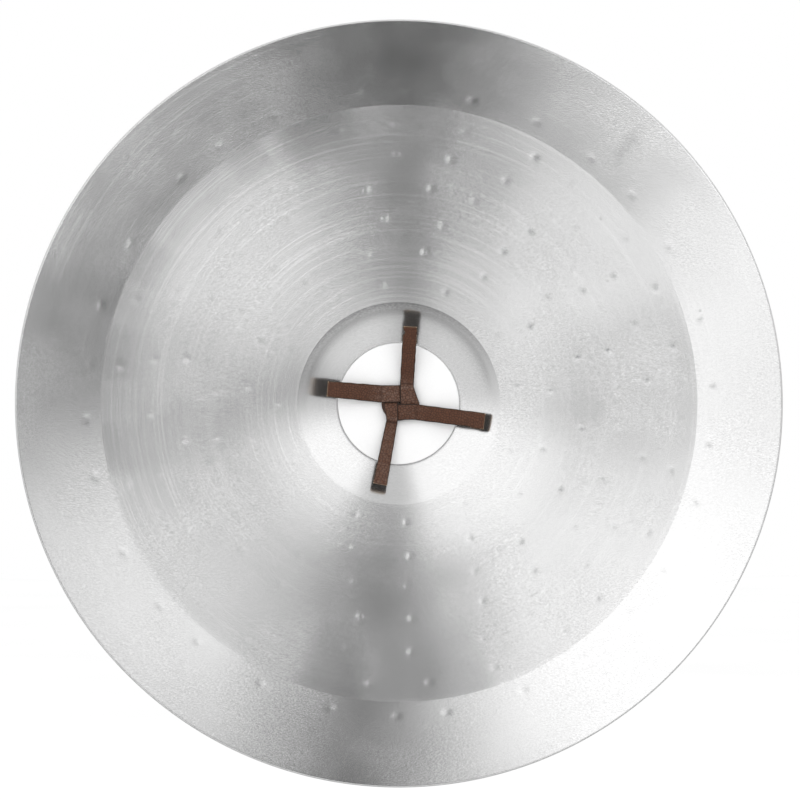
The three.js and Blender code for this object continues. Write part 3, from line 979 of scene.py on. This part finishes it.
def make_strand(sizes, materials, draw):
    run, rise, normals = strand_course(sizes)
    step_at, reach = sizes["step"] * MM, sizes["reach"] * MM
    in_knot = rise > 0

    turn = sizes["turn"]
    ahead = np.array([sine(turn), 0, cosine(turn)])
    aside = np.array([cosine(turn), 0, -sine(turn)])
    lift = np.array([0, -1, 0])
    sway = np.radians(sizes["sway"]) * smooth(run, KNOT_REACH + SWAY_FROM, KNOT_REACH + SWAY_TO)
    drift = np.concatenate([[0], np.cumsum(np.tan(sway[1:]) * np.diff(run))])
    ahead_here = np.cos(sway)[:, None] * ahead + np.sin(sway)[:, None] * aside
    side = np.cos(sway)[:, None] * aside - np.sin(sway)[:, None] * ahead
    up = normals[:, :1] * ahead_here + normals[:, 1:] * lift
    tilt = np.radians(KNOT_TILT) * (1 - smooth(run, KNOT_REACH + TILT_FROM, KNOT_REACH + TILT_TO))[:, None]
    side, up = np.cos(tilt) * side - np.sin(tilt) * up, np.cos(tilt) * up + np.sin(tilt) * side

    taper = np.clip((run - KNOT_REACH) / (reach - KNOT_REACH), 0, 1)
    width = (sizes["width"] + (sizes["tip"] - sizes["width"]) * taper) * MM
    flare = sizes["flare"] * MM * np.clip(1 - run / KNOT_REACH, 0, 1) * in_knot
    middle = sizes["seam"] * MM + sizes["width"] * MM / 2
    centre = run[:, None] * ahead + (middle + drift)[:, None] * aside + rise[:, None] * lift
    centre[:, 1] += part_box("knot_washer")[0].y
    left = (reach - run) / cosine(sizes["rise"])
    nick = sizes["nick"] * MM * np.exp(-(((left - NICK_AT) / NICK_LENGTH) ** 2))
    swell = sizes["swell"] * MM * (1 - smooth(left, SWELL_LENGTH / 2, SWELL_LENGTH))
    corner = CORNER * np.clip(1 - left / CORNER, 0, 1) ** 2
    uneven = smooth(run, KNOT_REACH + KNIFE_FROM, KNOT_REACH + KNIFE_TO)
    inner = width / 2 - nick - corner + uneven * ragged(len(run), STRAND_STEP, TAIL_KNIFE, draw)
    outer = width / 2 + flare + swell - corner + uneven * ragged(len(run), STRAND_STEP, TAIL_KNIFE, draw)

    bare_and_shade = BARE_ROOT + BARE_RISE * smooth(run, KNOT_REACH, reach)
    bare_and_shade[-1] = BARE_END
    # A painted highlight along each step's crest, added to the wear, and painted shade in the fold behind
    # it
    crest_highlight = np.exp(-(((run - step_at) / CREST_LENGTH) ** 2)) * in_knot
    fold = sizes["fold"] * np.exp(-(((run - step_at - FOLD_BEHIND) / FOLD_LENGTH) ** 2))
    out = smooth(run, KNOT_REACH + RUB_FROM, KNOT_REACH + RUB_TO)
    wear_and_highlight = sizes["knot_rub"] + (sizes["wear_and_highlight"] - sizes["knot_rub"]) * out + sizes["fold"] * crest_highlight
    name = sizes["name"]
    band = make_band(f"strap_strand_{name}", centre, side, up, inner, outer, bare_and_shade, wear_and_highlight, fold,
                     np.zeros(len(run)), materials)
    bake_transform(band)
    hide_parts("strap_knot", f"strap_tail_{name}")


# Hand loop
def make_loop(materials, draw):
    leg_centre = (LOOP_LEG_GAP + LEATHER) / 2
    bend_run = LOOP_LEG_RADIUS * (1 - cosine(LOOP_SPLAY))
    bow_radius = (leg_centre + bend_run + LOOP_LEG_LENGTH * sine(LOOP_SPLAY)) / cosine(LOOP_SPLAY)
    course = Course(-leg_centre, LOOP_PIVOT - LOOP_ROOT, 90, LOOP_STEP)
    course.straight(LOOP_ROOT)
    course.turn(LOOP_LEG_RADIUS, LOOP_SPLAY)
    course.straight(LOOP_LEG_LENGTH)
    course.turn(bow_radius, -180 - 2 * LOOP_SPLAY)
    course.straight(LOOP_LEG_LENGTH)
    course.turn(LOOP_LEG_RADIUS, LOOP_SPLAY)
    course.straight(LOOP_ROOT)
    points, _, normals = course.lines()
    flat = np.zeros(len(points))
    centre = np.stack([points[:, 0], points[:, 1], flat], 1)
    up = np.stack([normals[:, 0], normals[:, 1], flat], 1)
    side = np.tile([0.0, 0.0, 1.0], (len(points), 1))
    above = points[:, 1] - LOOP_PIVOT
    half = (LOOP_FOOT_WIDTH + (LOOP_WIDTH - LOOP_FOOT_WIDTH) * smooth(above, 0, LOOP_TAPER)) / 2
    slit = LOOP_SLIT_DEPTH * (1 - smooth(above, LOOP_SLIT_FROM, LOOP_SLIT_TO))
    inner, outer = [half + ragged(len(points), LOOP_STEP, LOOP_KNIFE, draw) for _ in range(2)]
    wear = np.full(len(points), LOOP_WEAR)
    loop = make_band("strap_hand_loop_band", centre, side, up, inner, outer, wear, wear, flat, slit,
                     materials)
    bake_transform(loop)
    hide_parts("strap_hand_loop")


def make_strap():
    draw = random.Random(STRAP_SEED)
    materials = [leather_grain(), leather_flesh(), leather_cut()]
    for sizes in STRANDS:
        make_strand(sizes, materials, draw)
    make_loop(materials, draw)


# Stage
def make_camera():
    low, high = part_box("cymbal_plate")
    data = bpy.data.cameras.new("camera")
    pixels_per_metre = RIM_WIDTH_IN_PHOTO / (high.x - low.x)
    data.sensor_width = SENSOR
    data.lens = SENSOR * VIEW_DISTANCE * pixels_per_metre / PHOTO_WIDTH
    camera = bpy.data.objects.new("camera", data)
    towards = -cosine(VIEW_AZIMUTH) * cosine(VIEW_ELEVATION)
    away = Vector((sine(VIEW_AZIMUTH), towards, sine(VIEW_ELEVATION)))
    aim = Vector((0, low.y, RIM_DROP_IN_PHOTO / pixels_per_metre))
    camera.location = aim + VIEW_DISTANCE * away
    camera.rotation_euler = away.to_track_quat("Z", "Y").to_euler()
    bpy.context.scene.collection.objects.link(camera)
    bpy.context.scene.camera = camera


def seen_directly(tree):
    """1 for rays from the camera and for what metal and clear things mirror or show."""
    path = node(tree, "ShaderNodeLightPath").outputs
    either = calc(tree, "MAXIMUM", path["Is Camera Ray"], path["Is Glossy Ray"])
    return calc(tree, "MAXIMUM", either, path["Is Transmission Ray"])


def make_floor():
    half = FLOOR_SIZE / 2
    height = cad_box[0].z - FLOOR_DROP
    corners = [(-half, -half, height), (half, -half, height), (half, half, height), (-half, half, height)]
    mesh = bpy.data.meshes.new("floor")
    mesh.from_pydata(corners, [], [(0, 1, 2, 3)])
    floor = bpy.data.objects.new("floor", mesh)
    bpy.context.scene.collection.objects.link(floor)
    material, tree, shader = new_material("floor_white")
    tone = spread(tree, noise(tree, object_place(tree), scale=3), *FLOOR_TONE)
    glow = calc(tree, "MULTIPLY", seen_directly(tree), FLOOR_GLOW)
    set_inputs(tree, shader, Base_Color=tone, Roughness=1.0, Specular_IOR_Level=0.0,
               Emission_Color=(1, 1, 1, 1), Emission_Strength=glow)
    mesh.materials.append(material)
    floor.visible_glossy = False


def make_world():
    """White to the eye. Metal mirrors a white backdrop behind the cymbal, and wedges of light and a dome in
    front of it."""
    world = bpy.data.worlds.new("studio")
    world.use_nodes = True
    bpy.context.scene.world = world
    tree = world.node_tree
    turn = (math.radians(-VIEW_ELEVATION), 0, math.radians(VIEW_AZIMUTH))
    direction = node(tree, "ShaderNodeTexCoord").outputs["Generated"]
    direction = node(tree, "ShaderNodeMapping", {"Vector": direction, "Rotation": turn}).outputs[0]
    axes = node(tree, "ShaderNodeSeparateXYZ", {0: direction}).outputs
    facing = vector(tree, "NORMALIZE", vector(tree, "MULTIPLY", direction, (1, 0, 1)))

    def off_axis(start, end, first, last):
        """A value that changes between two angles off the mirrored line of sight."""
        return remap(tree, axes["Y"], -cosine(start), -cosine(end), first, last, ease=True)

    def past(angle):
        """0 nearer that line than an angle and 1 beyond it."""
        return off_axis(angle - WEDGE_FADE, angle + WEDGE_FADE, 0, 1)

    wedges = ROOM_BRIGHTNESS
    for clock, full, gone, brightness, start, end in WEDGES:
        light = less(tree, near_clock(tree, facing, clock, full, gone, brightness), past(end))
        wedges = calc(tree, "ADD", wedges, calc(tree, "MULTIPLY", light, past(start)))
    wedges = calc(tree, "ADD", wedges, off_axis(LENS_EDGE, LENS_CLEAR, LENS_LIGHT, 0))

    rise = node(tree, "ShaderNodeSeparateXYZ", {0: facing}).outputs["Z"]
    dome = remap(tree, rise, DOME_LOW, DOME_HIGH, DOME_BELOW, DOME_ABOVE, ease=True)
    for lamp in LOW_LAMPS:
        dome = calc(tree, "ADD", dome, near_clock(tree, facing, *lamp))
    dome = less(tree, dome, near_clock(tree, facing, *BOOM))
    dark = off_axis(HORIZON_START, HORIZON_END, 0, HORIZON_DARK)
    dark = calc(tree, "MULTIPLY", dark, remap(tree, axes["Z"], HORIZON_LOW, 0.0, 1, 0, ease=True))
    dome = less(tree, dome, dark)

    backdrop = remap(tree, axes["Y"], BACKDROP_SIDE, BACKDROP_MIDDLE, BACKDROP_EDGE, 1.0, ease=True)
    fall = remap(tree, axes["Z"], BACKDROP_LOW, BACKDROP_HIGH, BACKDROP_BELOW, BACKDROP_ABOVE)
    backdrop = calc(tree, "MULTIPLY", backdrop, fall)
    behind = remap(tree, axes["Y"], BACKDROP_START, BACKDROP_SIDE, 0, 1, ease=True)
    room = blend_value(tree, behind, blend_value(tree, past(DOME_START), wedges, dome), backdrop)

    path = node(tree, "ShaderNodeLightPath").outputs
    mirrored = calc(tree, "MAXIMUM", path["Is Glossy Ray"], path["Is Transmission Ray"])
    strength = blend_value(tree, mirrored, AMBIENT, room)
    strength = blend_value(tree, path["Is Camera Ray"], strength, 1.0)
    set_inputs(tree, tree.nodes["Background"], Color=(1, 1, 1, 1), Strength=strength)


def make_lamps():
    for name, clock, off_axis, width, height, brightness in LAMPS:
        data = bpy.data.lights.new(name, "AREA")
        data.shape = "RECTANGLE"
        data.size, data.size_y = width, height
        data.energy = brightness * math.pi * width * height
        lamp = bpy.data.objects.new(name, data)
        out = Vector((cosine(clock) * sine(off_axis), -cosine(off_axis), -sine(clock) * sine(off_axis)))
        lamp.location = LAMP_DISTANCE * out
        lamp.rotation_euler = out.to_track_quat("Z", "Y").to_euler()
        lamp.visible_camera = False
        lamp.visible_glossy = False
        bpy.context.scene.collection.objects.link(lamp)


make_camera()
make_plate()
make_washer()
make_strap()
make_floor()
make_world()
make_lamps()
bpy.context.scene.view_settings.view_transform = "Standard"
